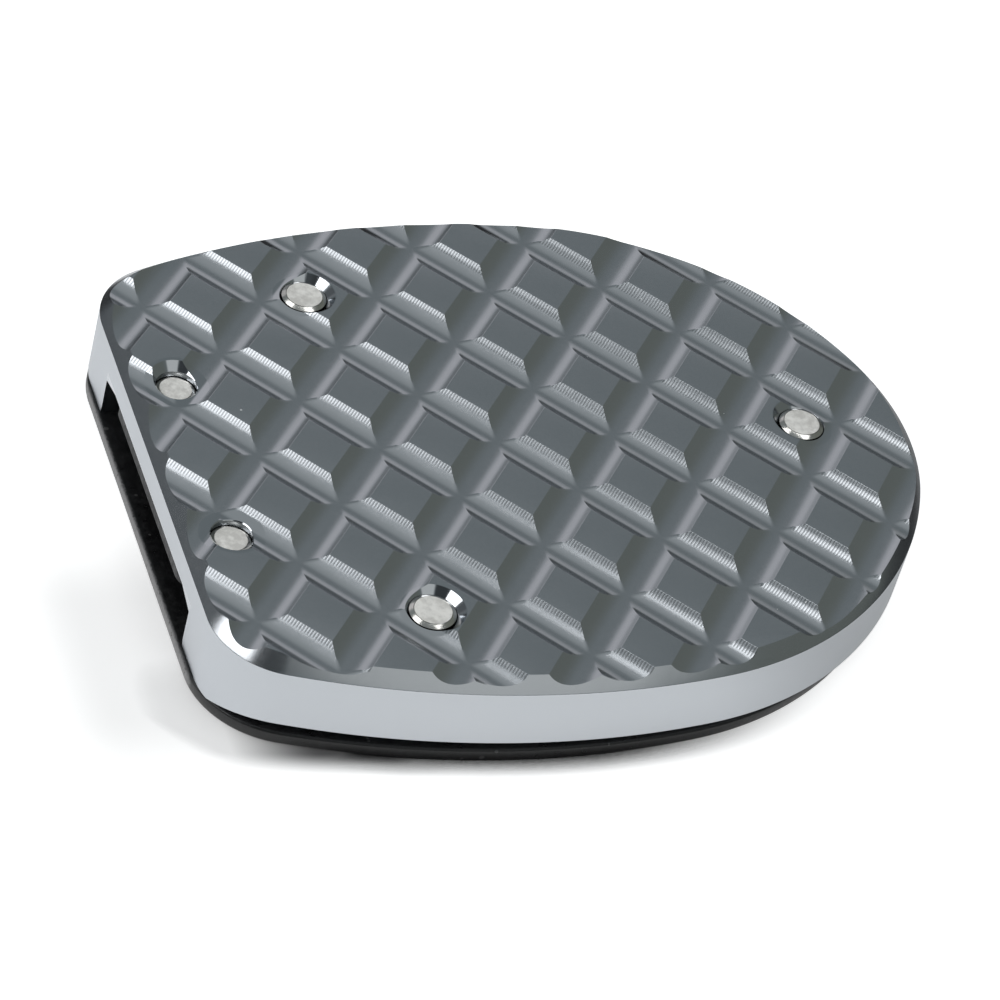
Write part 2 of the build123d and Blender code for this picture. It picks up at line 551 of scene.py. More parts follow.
@dataclass
class FootPlate:
    """The silver foot plate with its grip face, chamfers, stand pocket and tapped holes."""

    outline: Outline = field(default_factory=Outline)
    grip: Grip = field(default_factory=Grip)
    bottom: float = 1.5
    top: float = 11.2
    block_floor: float = -1.5
    upper_chamfer: float = 1.45
    bevel_height: float = 1.5
    bevel_width: float = 3.1
    bevel_least: float = 0.02
    edge_round: float = 0.16
    pocket_length: float = 54.0
    pocket_half: float = 17.1
    pocket_depth: float = 5.35
    slope_width: float = 3.2
    slope_drop: float = 0.8
    pocket_corner: float = 8.0
    plate_hole: float = 2.55
    plate_exit: float = 3.3
    plate_entry: float = 3.25
    mouth_hole: float = 2.15
    mouth_exit: float = 3.0
    plate_places: tuple[tuple[float, float], ...] = ((-19.3, 23.8), (-19.3, -23.8), (30.1, 0.0))
    mouth_places: tuple[tuple[float, float], ...] = ((-36.7, 11.15), (-36.7, -11.15))

    def body(self) -> Solid:
        """Make the body from rim rings: a lower bevel that fades at the mouth corners, and an upper chamfer.

        The bevel's share is one less the corner gap over the bevel's width.

        Returns:
            The body, a little higher than the grip face.
        """
        path = self.outline.path()
        share = 1.0 - self.outline.corner_gap(path[0]) / self.bevel_width
        at_mouth = path[0][:, 0] < self.outline.front + 1e-3
        left = np.where(at_mouth, self.bevel_least, np.maximum(share, self.bevel_least))
        low = self.bevel_height * left
        bend = np.radians(np.linspace(0.0, 45.0, 4))
        start = self.top - self.upper_chamfer - self.edge_round * math.tan(math.radians(22.5))
        over = 0.6
        insets = [self.bevel_width * left, 0.0 * low]
        heights = [self.bottom + 0.0 * low, self.bottom + low]
        insets += [self.edge_round * (1 - math.cos(b)) + 0.0 * low for b in bend]
        heights += [start + self.edge_round * math.sin(b) + 0.0 * low for b in bend]
        insets.append(self.upper_chamfer + over + 0.0 * low)
        heights.append(self.top + over + 0.0 * low)
        return loft(rings_along(path, np.array(insets), np.array(heights)))

    def pocket(self) -> Solid:
        """Make the pocket's tool: a rounded slot whose roof slopes down a little to its walls.

        Returns:
            The tool, which runs out past the mouth edge and the underside.
        """
        outside = 8.0
        front = self.outline.front - outside
        back = self.outline.front + self.pocket_length
        inner = self.pocket_corner
        outer = self.slope_width + 1.0
        path = arc_path([
            ((back - inner, self.pocket_half - inner), inner, 0.0, 90.0, 20),
            ((front + outer, self.pocket_half - outer), outer, 90.0, 180.0, 6),
            ((front + outer, outer - self.pocket_half), outer, 180.0, 270.0, 6),
            ((back - inner, inner - self.pocket_half), inner, 270.0, 360.0, 20),
        ])
        roof = self.bottom + self.pocket_depth
        insets = np.array([0.0, 0.0, self.slope_width])
        heights = np.array([self.bottom - OVERRUN, roof - self.slope_drop, roof])
        return loft(rings_along(path, insets, heights))

    def holes(self) -> list[Solid]:
        """Make the holes' tools, all countersunk at the grip face and the plate screws' from below too.

        Returns:
            One tool for each hole.
        """
        entry = self.bottom + self.plate_entry - self.plate_hole
        leave = self.top - (self.plate_exit - self.plate_hole)
        plate = np.array([
            (self.plate_entry + OVERRUN, self.bottom - OVERRUN),
            (self.plate_hole, entry),
            (self.plate_hole, leave),
            (self.plate_exit + OVERRUN, self.top + OVERRUN),
        ])
        roof = self.bottom + self.pocket_depth
        mouth = np.array([
            (self.mouth_hole, roof - OVERRUN),
            (self.mouth_hole, self.top - (self.mouth_exit - self.mouth_hole)),
            (self.mouth_exit + OVERRUN, self.top + OVERRUN),
        ])
        tools = [lathe(plate, place) for place in self.plate_places]
        return tools + [lathe(mouth, place) for place in self.mouth_places]

    def build(self) -> bpy.types.Object:
        """Cut the body to the grip grid, then take the pocket and the holes out of it.

        Returns:
            The plate.
        """
        plate = place_solid("foot_plate", self.body())
        cut_solid(plate, self.grip.block(self.top, self.block_floor), Cut.KEEP_COMMON)
        cut_solid(plate, self.pocket(), Cut.TAKE_AWAY)
        for tool in self.holes():
            cut_solid(plate, tool, Cut.TAKE_AWAY)
        finish_mesh(plate, "foot_plate", sharp_degrees=24.0)
        return plate

    def dress(self, finish: Finish) -> None:
        """Build the plate in its finish, in place of its CAD node."""
        stand_for(self.build(), finish.build(), "base_plate")


@dataclass
class ClampPlate:
    """The black sheet plate under the foot plate, with rounder corners and sunk holes for the screws."""

    outline: Outline = field(default_factory=lambda: Outline(corner_radius=11.0))
    plate: FootPlate = field(default_factory=FootPlate)
    thickness: float = 1.5
    inset: float = 0.5
    overhang: float = 0.4
    edge: float = 0.3
    plate_sink: float = 4.75
    mouth_sink: float = 3.85
    mouth_hole: float = 2.05

    def build(self) -> bpy.types.Object:
        """Round the sheet's edges over by quarter circles, then sink its holes from below at 45 degrees.

        Returns:
            The plate.
        """
        points, normals = self.outline.path()
        moved = (points - np.array([self.inset + self.overhang, 0.0]), normals)
        bend = np.radians(np.linspace(90.0, 0.0, 4))
        lower = self.edge * (1 - np.cos(bend))
        insets = self.inset + np.concatenate([lower, lower[::-1]])
        rise = self.edge * (1 - np.sin(bend))
        heights = np.concatenate([rise, self.thickness - rise[::-1]])
        sheet = place_solid("clamp_sheet", loft(rings_along(moved, insets, heights)))
        for places, sink, hole in (
            (self.plate.plate_places, self.plate_sink, self.plate.plate_hole),
            (self.plate.mouth_places, self.mouth_sink, self.mouth_hole),
        ):
            neck = sink - hole
            cone = np.array([(sink + OVERRUN, -OVERRUN), (hole, neck), (hole, neck + OVERRUN)])
            for place in places:
                cut_solid(sheet, lathe(cone, place), Cut.TAKE_AWAY)
        finish_mesh(sheet, "clamp_sheet", sharp_degrees=35.0)
        return sheet

    def dress(self, finish: Finish) -> None:
        """Build the sheet in its finish, in place of its CAD node."""
        stand_for(self.build(), finish.build(), "clamp_plate")


@dataclass
class ScrewSet:
    """A set of identical countersunk socket screws, standing on their heads."""

    name: str
    node: str
    places: tuple[tuple[float, float], ...]
    diameter: float
    head: float
    tip: float
    tip_height: float
    pitch: float
    socket: float
    socket_depth: float
    recess: float = 0.1
    thread_depth: float = 0.24
    crest_power: float = 1.3
    around: int = 48
    steps_per_pitch: int = 10
    rim: float = 0.12
    socket_cone: float = 0.15
    socket_floor: float = 0.55

    def shape(self) -> Solid:
        """Turn one screw: a head cone, then a shank with its thread and a tip.

        The thread's depth is a triangle wave of the height less the pitch times the turn.

        Returns:
            The screw on the Z axis, with a shallow bevel and a scored line round its tip.
        """
        neck = self.recess + (self.head - self.diameter) / 2
        angle = np.linspace(0.0, 2 * np.pi, self.around, endpoint=False)
        corner = (self.diameter - self.tip) / 2
        shoulder = self.tip_height - corner
        chamfer = [(1.0, 1.0), (0.95, 0.6), (0.84, 0.52)]
        scored_line = [(0.12, 0.1), (0.04, 0.17), (-0.06, 0.0)]
        bevel = corner * np.array(chamfer + scored_line)
        levels = int((shoulder - neck) / self.pitch * self.steps_per_pitch)
        shank = np.linspace(neck, shoulder, levels)[:-1]
        rise = np.concatenate([shank, self.tip_height - bevel[:, 1]])
        wave = (rise[:, None] / self.pitch - angle[None] / (2 * np.pi)) % 1.0
        thread = self.thread_depth * np.abs(2 * wave - 1.0) ** self.crest_power
        fade = np.clip((rise - neck) / self.pitch, 0.0, 1.0)[:, None]
        fade = np.minimum(fade, np.clip((shoulder - rise) / self.pitch, 0.0, 1.0)[:, None])
        widest = np.concatenate([np.full(len(shank), self.diameter / 2), self.tip / 2 + bevel[:, 0]])
        radius = widest[:, None] - fade * thread
        head = np.array([
            (self.head / 2 - self.rim, self.recess),
            (self.head / 2, self.recess + self.rim / 2),
            (self.head / 2 - self.rim / 3, self.recess + self.rim),
        ])
        radius = np.concatenate([np.broadcast_to(head[:, :1], (3, len(angle))), radius])
        height = np.broadcast_to(np.concatenate([head[:, 1], rise])[:, None], radius.shape)
        return loft(np.stack([radius * np.cos(angle), radius * np.sin(angle), height], axis=-1))

    def build(self) -> bpy.types.Object:
        """Cut the socket, a hexagon with a shallow cone at its end, into one screw and repeat the screw.

        Returns:
            The set as one object.
        """
        one = place_solid(self.name, self.shape())
        corner = self.socket / 2 / math.cos(math.radians(30.0))
        depth = self.recess + self.socket_depth
        floor = (corner * self.socket_floor, depth)
        hexagon = np.array([(corner, -OVERRUN), (corner, depth - self.socket_cone), floor])
        cut_solid(one, lathe(hexagon, (0.0, 0.0), around=6), Cut.TAKE_AWAY)
        mesh = one.data
        count = len(mesh.vertices)
        flat = np.empty(count * 3)
        mesh.vertices.foreach_get("co", flat)
        points = flat.reshape(-1, 3)
        shifts = np.array([(x, y, 0.0) for x, y in self.places])
        every = (points[None] + shifts[:, None]).reshape(-1, 3)
        faces = [[v + i * count for v in p.vertices] for i in range(len(shifts)) for p in mesh.polygons]
        bpy.data.objects.remove(one)
        bpy.data.meshes.remove(mesh)
        screws = place_solid(self.name, Solid(every, faces))
        finish_mesh(screws, self.name, sharp_degrees=40.0)
        return screws

    def dress(self, finish: Finish) -> None:
        """Build the screws in their finish, in place of their CAD node."""
        stand_for(self.build(), finish.build(), self.node)


class Effects:
    """Shader node groups that more than one finish uses, each built once."""

    def __init__(self) -> None:
        """Build the groups."""
        self.grain = self.build_grain()
        self.specks = self.build_specks()

    @staticmethod
    def build_grain() -> bpy.types.NodeTree:
        """Make fine mottling of a surface: two noises of different size, as a value about one half.

        Returns:
            The group.
        """
        tree, source, sink = new_group(
            "surface_grain",
            {
                "Position": ("NodeSocketVector", 0.0),
                "Scale": ("NodeSocketFloat", 900.0),
                "Coarse": ("NodeSocketFloat", 0.4),
            },
            {"Value": "NodeSocketFloat"},
        )
        g = Graph(tree)
        position, scale = source.outputs["Position"], source.outputs["Scale"]
        fine_look = {"Vector": position, "Scale": scale, "Detail": 4.0, "Roughness": 0.6}
        fine = g.add("ShaderNodeTexNoise", fine_look)
        wide_share = 0.12
        wide_scale = g.math("MULTIPLY", scale, wide_share)
        wide_look = {"Vector": position, "Scale": wide_scale, "Detail": 3.0, "Roughness": 0.55}
        wide = g.add("ShaderNodeTexNoise", wide_look)
        share = source.outputs["Coarse"]
        mixed = g.add("ShaderNodeMix", {0: share, 2: fine.outputs[0], 3: wide.outputs[0]}, data_type="FLOAT")
        g.feed(sink.inputs["Value"], mixed.outputs[0])
        return tree

    @staticmethod
    def build_specks() -> bpy.types.NodeTree:
        """Make scattered specks: middles of random cells, kept where a cell's own value is below a share.

        Returns:
            The group.
        """
        tree, source, sink = new_group(
            "scattered_specks",
            {
                "Position": ("NodeSocketVector", 0.0),
                "Scale": ("NodeSocketFloat", 700.0),
                "Share": ("NodeSocketFloat", 0.05),
                "Size": ("NodeSocketFloat", 0.3),
            },
            {"Mask": "NodeSocketFloat"},
        )
        g = Graph(tree)
        spread = {"Vector": source.outputs["Position"], "Scale": source.outputs["Scale"]}
        cells = g.add("ShaderNodeTexVoronoi", spread)
        cell = g.add("ShaderNodeSeparateColor", {0: cells.outputs["Color"]})
        rare = g.math("LESS_THAN", cell.outputs[0], source.outputs["Share"])
        reach = g.math("MULTIPLY", source.outputs["Size"], cell.outputs[1])
        close = g.math("LESS_THAN", cells.outputs["Distance"], reach)
        g.feed(sink.inputs["Mask"], g.math("MULTIPLY", rare, close))
        return tree


@dataclass(frozen=True)
class Spread:
    """How specks are scattered: cells to the metre, share of cells with one, and size within a cell."""

    scale: float
    share: float
    size: float


@dataclass(frozen=True)
class Finish:
    """Base of the finishes: a named material with a Principled shader."""

    name: str
    effects: Effects

    def start(self) -> tuple[bpy.types.Material, Graph, bpy.types.Node, bpy.types.NodeSocket]:
        """Make the material.

        Returns:
            The material, its graph, its shader and its Object coordinates.
        """
        material = bpy.data.materials.new(self.name)
        material.use_nodes = True
        graph = Graph(material.node_tree)
        shader = material.node_tree.nodes["Principled BSDF"]
        position = graph.add("ShaderNodeTexCoord").outputs["Object"]
        return material, graph, shader, position

    def build(self) -> bpy.types.Material:
        """Make the plain material; each finish wires its own over this."""
        return self.start()[0]

    def use(self, graph: Graph, tree: bpy.types.NodeTree, inputs: dict[str, Any]) -> bpy.types.NodeSocket:
        """Place a node group in a material with its own values.

        Args:
            graph: Graph of the material.
            tree: The group.
            inputs: Names of the group's inputs, each with a value or a socket to wire from.

        Returns:
            The group's output.
        """
        node = graph.add("ShaderNodeGroup")
        node.node_tree = tree
        for key, value in inputs.items():
            graph.feed(node.inputs[key], value)
        return node.outputs[0]

    def grain(self, graph: Graph, position: Any, scale: float, coarse: float) -> bpy.types.NodeSocket:
        """Return the surface grain at a scale, with a share of coarse mottling."""
        return self.use(graph, self.effects.grain, {"Position": position, "Scale": scale, "Coarse": coarse})

    def specks(self, graph: Graph, position: Any, spread: Spread) -> bpy.types.NodeSocket:
        """Return a mask of scattered specks."""
        inputs = {"Position": position, "Scale": spread.scale, "Share": spread.share, "Size": spread.size}
        return self.use(graph, self.effects.specks, inputs)

    def dent(
        self, graph: Graph, shader: bpy.types.Node, height: Any, distance: float, strength: float
    ) -> None:
        """Bump a shader's normal by a height."""
        bump = graph.add("ShaderNodeBump", {"Height": height, "Strength": strength, "Distance": distance})
        graph.feed(shader.inputs["Normal"], bump.outputs[0])


@dataclass(frozen=True)
class AnodisedAluminium(Finish):
    """Satin anodised aluminium with feed marks in one family of the grooves, painted shade between their
    ribs and along their far flank, and polished countersinks.

    Lengths are in millimetres, and places across a groove are measured from its middle.
    """

    grip: Grip = field(default_factory=Grip)
    plate: FootPlate = field(default_factory=FootPlate)
    colour: Colour = (0.53, 0.555, 0.585, 1.0)
    pale: Colour = (0.56, 0.58, 0.61, 1.0)
    shade: Colour = (0.15, 0.16, 0.17, 1.0)
    nick: Colour = (0.82, 0.84, 0.85, 1.0)
    grain_scale: float = 2600.0
    coarse_share: float = 0.35
    grain_height: float = 0.0003
    rib_pitch: float = 0.33
    rib_height: float = 0.0008
    rib_wobble: float = 0.5
    rib_start: Ramp = Ramp(-12.0, 22.0, 1.65, 1.05)
    rib_fade: Ramp = Ramp(0.0, 0.3)
    # Painted shade: how dark the colour goes between the ribs of the feed marks.
    rib_painted_shade: Ramp = Ramp(0.4, -0.7, 0.0, 0.6)
    # Painted shade: a dark line in the colour along the far flank of the ribbed grooves.
    far_shade_inner: Ramp = Ramp(-0.95, -1.3)
    far_shade_outer: Ramp = Ramp(-2.3, -1.7, 0.0, 0.6)
    on_groove: Ramp = Ramp(-0.1, -0.05)
    lower_family: Ramp = Ramp(-0.05, 0.05)
    nicks: Spread = Spread(640.0, 0.02, 0.09)
    nick_roughness: float = 0.35
    satin: Ramp = Ramp(0.2, 0.8, 0.18, 0.24)
    wall_satin: Ramp = Ramp(9.75, 9.6, 0.0, 0.2)
    above_roof: Ramp = Ramp(0.05, 0.25)
    beside_pocket: Ramp = Ramp(0.05, 0.2)
    beyond_pocket: Ramp = Ramp(0.5, 1.5)
    sink_radius: float = 3.35
    sink_edge: float = 0.1
    sink_polish: float = 0.4

    def past_groove(self, g: Graph, position: Any, side: int) -> bpy.types.NodeSocket:
        """Measure how far a place lies past the nearest groove: its offset, wrapped at the spacing.

        Args:
            g: Graph of the material.
            position: Object coordinates.
            side: Which family, 1 or -1.

        Returns:
            The distance in millimetres, with its sign.
        """
        across = self.grip.across(side)
        shift = -across[0] * self.grip.middle_x
        place = g.math("MULTIPLY_ADD", g.dot(position, across), 1.0 / MM, shift)
        half = self.grip.spacing / 2
        within = g.math("FLOORED_MODULO", g.math("ADD", place, half), self.grip.spacing)
        return g.math("SUBTRACT", within, half)

    def near_holes(self, g: Graph, position: Any) -> bpy.types.NodeSocket:
        """Mark the countersunk holes: the least distance to their axes, cut off at the sinks' radius.

        Args:
            g: Graph of the material.
            position: Object coordinates.

        Returns:
            A mask that is one in the holes.
        """
        flat = g.vector("MULTIPLY", position, (1.0, 1.0, 0.0)).outputs[0]
        places = self.plate.plate_places + self.plate.mouth_places
        gaps = [g.vector("DISTANCE", flat, (x * MM, y * MM, 0.0)).outputs["Value"] for x, y in places]
        nearest = gaps[0]
        for gap in gaps[1:]:
            nearest = g.math("MINIMUM", nearest, gap)
        return g.span(nearest, (self.sink_radius + self.sink_edge) * MM, self.sink_radius * MM)

    def groove_masks(self, g: Graph, position: Any) -> tuple[bpy.types.NodeSocket, bpy.types.NodeSocket]:
        """Mark the parts of the ribbed grooves that carry feed marks, and a painted shade line on the far
        flank.

        A place is in a groove where it lies no lower than the groove's arc and where that family is the
        lower one. The arc rises as the radius less the root of the radius squared less the place squared.

        Args:
            g: Graph of the material.
            position: Object coordinates.

        Returns:
            The mask of the feed marks on the near flank, and the mask of the painted shade line on the far
            flank.
        """
        past = self.past_groove(g, position, -1)
        ribbed = g.math("ABSOLUTE", past)
        smooth = g.math("ABSOLUTE", self.past_groove(g, position, 1))
        height = g.millimetres(position, UP)
        square = g.math("MULTIPLY", past, past)
        root = g.math("SQRT", g.math("SUBTRACT", self.grip.radius**2, square))
        rise = g.math("SUBTRACT", self.grip.radius, root)
        groove_floor = self.plate.top - self.grip.depth
        above_groove = g.math("SUBTRACT", g.math("SUBTRACT", height, rise), groove_floor)
        lower = g.ramp(g.math("SUBTRACT", smooth, ribbed), self.lower_family)
        cut = g.math("MULTIPLY", lower, g.ramp(above_groove, self.on_groove))
        inner, outer = self.grip.edge_limits()
        start = g.ramp(g.millimetres(position, RIGHT), self.rib_start)
        near_flank = g.ramp(g.math("SUBTRACT", past, start), self.rib_fade)
        marked = g.math("MULTIPLY", g.span(ribbed, outer, inner), near_flank)
        # Painted shade line along the far flank, darkening the colour towards the shade colour.
        far_flank = g.math("MULTIPLY", g.ramp(past, self.far_shade_inner), g.ramp(past, self.far_shade_outer))
        return g.math("MULTIPLY", marked, cut), g.math("MULTIPLY", far_flank, cut)

    def wall_roughness(self, g: Graph, position: Any) -> bpy.types.NodeSocket:
        """Work out how much rougher the outer wall is than the grip face; the pocket's inside is left out.

        Args:
            g: Graph of the material.
            position: Object coordinates.

        Returns:
            The roughness to add.
        """
        height = g.millimetres(position, UP)
        side = g.math("ABSOLUTE", g.millimetres(position, BACK))
        roof = self.plate.bottom + self.plate.pocket_depth
        wall = self.plate.pocket_half
        end = self.plate.outline.front + self.plate.pocket_length
        above = g.ramp(g.math("SUBTRACT", height, roof), self.above_roof)
        beside = g.ramp(g.math("SUBTRACT", side, wall), self.beside_pocket)
        past_end = g.ramp(g.math("SUBTRACT", g.millimetres(position, RIGHT), end), self.beyond_pocket)
        outside = g.math("MAXIMUM", g.math("MAXIMUM", above, beside), past_end)
        return g.math("MULTIPLY", g.ramp(height, self.wall_satin), outside)

    def build(self) -> bpy.types.Material:
        """Wire the colour, the roughness and the feed marks, whose height is a sine along the groove, with
        painted shade between the ribs and along the far flank.

        Returns:
            The material.
        """
        material, g, shader, position = self.start()
        shader.inputs["Metallic"].default_value = 1.0
        feed, far_flank_shade = self.groove_masks(g, position)
        grain = self.grain(g, position, self.grain_scale, self.coarse_share)
        turns = 2 * math.pi / (self.rib_pitch * MM)
        travel = g.math("MULTIPLY", g.dot(position, self.grip.along(-1)), turns)
        wave = g.math("SINE", g.math("MULTIPLY_ADD", grain, self.rib_wobble, travel))
        tooth = g.math("MULTIPLY", g.math("MULTIPLY", wave, self.rib_height * MM), feed)
        fine = g.math("MULTIPLY", grain, self.grain_height * MM)
        self.dent(g, shader, g.math("ADD", tooth, fine), 1.0, 1.0)
        # Painted shade: the colour goes darker between the ribs of the feed marks.
        shade_between_ribs = g.math("MULTIPLY", g.ramp(wave, self.rib_painted_shade), feed)
        plain = g.blend(grain, self.colour, self.pale)
        lined = g.blend(g.math("MAXIMUM", shade_between_ribs, far_flank_shade), plain, self.shade)
        nicks = self.specks(g, position, self.nicks)
        g.feed(shader.inputs["Base Color"], g.blend(nicks, lined, self.nick))
        worn = g.math("MULTIPLY_ADD", nicks, self.nick_roughness, self.wall_roughness(g, position))
        rough = g.math("ADD", g.ramp(grain, self.satin), worn)
        polish = g.span(self.near_holes(g, position), 0.0, 1.0, 1.0, self.sink_polish)
        g.feed(shader.inputs["Roughness"], g.math("MULTIPLY", rough, polish))
        return material


@dataclass(frozen=True)
class BlackCoating(Finish):
    """Black powder coating with a pebbled surface, a little grey dust, and a paler, mottled mouth edge that
    is a painted reflection of the white floor.
    """

    colour: Colour = (0.004, 0.004, 0.0045, 1.0)
    worn: Colour = (0.012, 0.012, 0.013, 1.0)
    dust: Colour = (0.06, 0.06, 0.06, 1.0)
    # Painted reflection: a paler colour on the mouth edge stands in for the floor's reflection.
    painted_reflection: Colour = (0.26, 0.255, 0.26, 1.0)
    pebble_scale: float = 1700.0
    coarse_share: float = 0.3
    pebble_height: float = 0.04
    mottling: Ramp = Ramp(0.45, 0.7)
    satin: Ramp = Ramp(0.3, 0.7, 0.26, 0.42)
    specks_of_dust: Spread = Spread(1500.0, 0.05, 0.45)
    reflection_edge: Ramp = Ramp(-42.15, -42.42)
    reflection_uneven: float = 0.9
    reflection_mottling: Ramp = Ramp(0.35, 0.62, 0.35, 1.0)

    def build(self) -> bpy.types.Material:
        """Wire the pebbles, the mottled colour, the specks and the painted reflection on the mouth edge.

        Returns:
            The material.
        """
        material, g, shader, position = self.start()
        grain = self.grain(g, position, self.pebble_scale, self.coarse_share)
        mottled = g.blend(g.ramp(grain, self.mottling), self.colour, self.worn)
        dusty = g.blend(self.specks(g, position, self.specks_of_dust), mottled, self.dust)
        # Painted reflection of the floor on the mouth edge, with an uneven, mottled border.
        shift = g.math("SUBTRACT", grain, 0.5)
        uneven = g.math("MULTIPLY_ADD", shift, self.reflection_uneven, g.millimetres(position, RIGHT))
        edge_reflection = g.math("MULTIPLY", g.ramp(uneven, self.reflection_edge), g.ramp(grain, self.reflection_mottling))
        g.feed(shader.inputs["Base Color"], g.blend(edge_reflection, dusty, self.painted_reflection))
        g.feed(shader.inputs["Roughness"], g.ramp(grain, self.satin))
        self.dent(g, shader, grain, self.pebble_height * MM, 1.0)
        return material


@dataclass(frozen=True)
class PadRubber(Finish):
    """Dark pad material with an open, mottled edge."""

    colour: Colour = (0.012, 0.012, 0.013, 1.0)
    pale: Colour = (0.07, 0.07, 0.074, 1.0)
    pore_scale: float = 1300.0
    coarse_share: float = 0.3
    pore_height: float = 0.08
    mottling: Ramp = Ramp(0.4, 0.62)
    roughness: float = 0.55
    specular: float = 0.3

    def build(self) -> bpy.types.Material:
        """Wire the mottled colour and the rough surface.

        Returns:
            The material.
        """
        material, g, shader, position = self.start()
        grain = self.grain(g, position, self.pore_scale, self.coarse_share)
        g.feed(shader.inputs["Base Color"], g.blend(g.ramp(grain, self.mottling), self.colour, self.pale))
        shader.inputs["Roughness"].default_value = self.roughness
        shader.inputs["Specular IOR Level"].default_value = self.specular
        self.dent(g, shader, grain, self.pore_height * MM, 1.0)
        return material


@dataclass(frozen=True)
class ScrewSteel(Finish):
    """Bright turned stainless steel, with a pale sawn face on the screws' tips."""

    tip_height: float = 0.0
    colour: Colour = (0.78, 0.765, 0.735, 1.0)
    dull: Colour = (0.55, 0.54, 0.515, 1.0)
    face: Colour = (0.97, 0.955, 0.92, 1.0)
    scored: Colour = (0.68, 0.665, 0.635, 1.0)
    grain_scale: float = 1500.0
    coarse_share: float = 0.5
    dent_height: float = 0.06
    dent_strength: float = 0.6
    shank_mottling: Ramp = Ramp(0.35, 0.65)
    face_mottling: Ramp = Ramp(0.38, 0.62)
    shine: Ramp = Ramp(0.3, 0.7, 0.12, 0.24)
    face_roughness: float = 0.4
    face_edge: Ramp = Ramp(-0.03, -0.01)

    def build(self) -> bpy.types.Material:
        """Wire the mottled colour, the roughness, the tips' faces and fine dents.

        Returns:
            The material.
        """
        material, g, shader, position = self.start()
        to_face = g.math("SUBTRACT", g.millimetres(position, UP), self.tip_height)
        tip = g.ramp(to_face, self.face_edge)
        g.feed(shader.inputs["Metallic"], g.math("SUBTRACT", 1.0, tip))
        grain = self.grain(g, position, self.grain_scale, self.coarse_share)
        shank = g.blend(g.ramp(grain, self.shank_mottling), self.colour, self.dull)
        sawn = g.blend(g.ramp(grain, self.face_mottling), self.face, self.scored)
        g.feed(shader.inputs["Base Color"], g.blend(tip, shank, sawn))
        rough = g.math("MULTIPLY_ADD", tip, self.face_roughness, g.ramp(grain, self.shine))
        g.feed(shader.inputs["Roughness"], rough)
        self.dent(g, shader, grain, self.dent_height * MM, self.dent_strength)
        return material


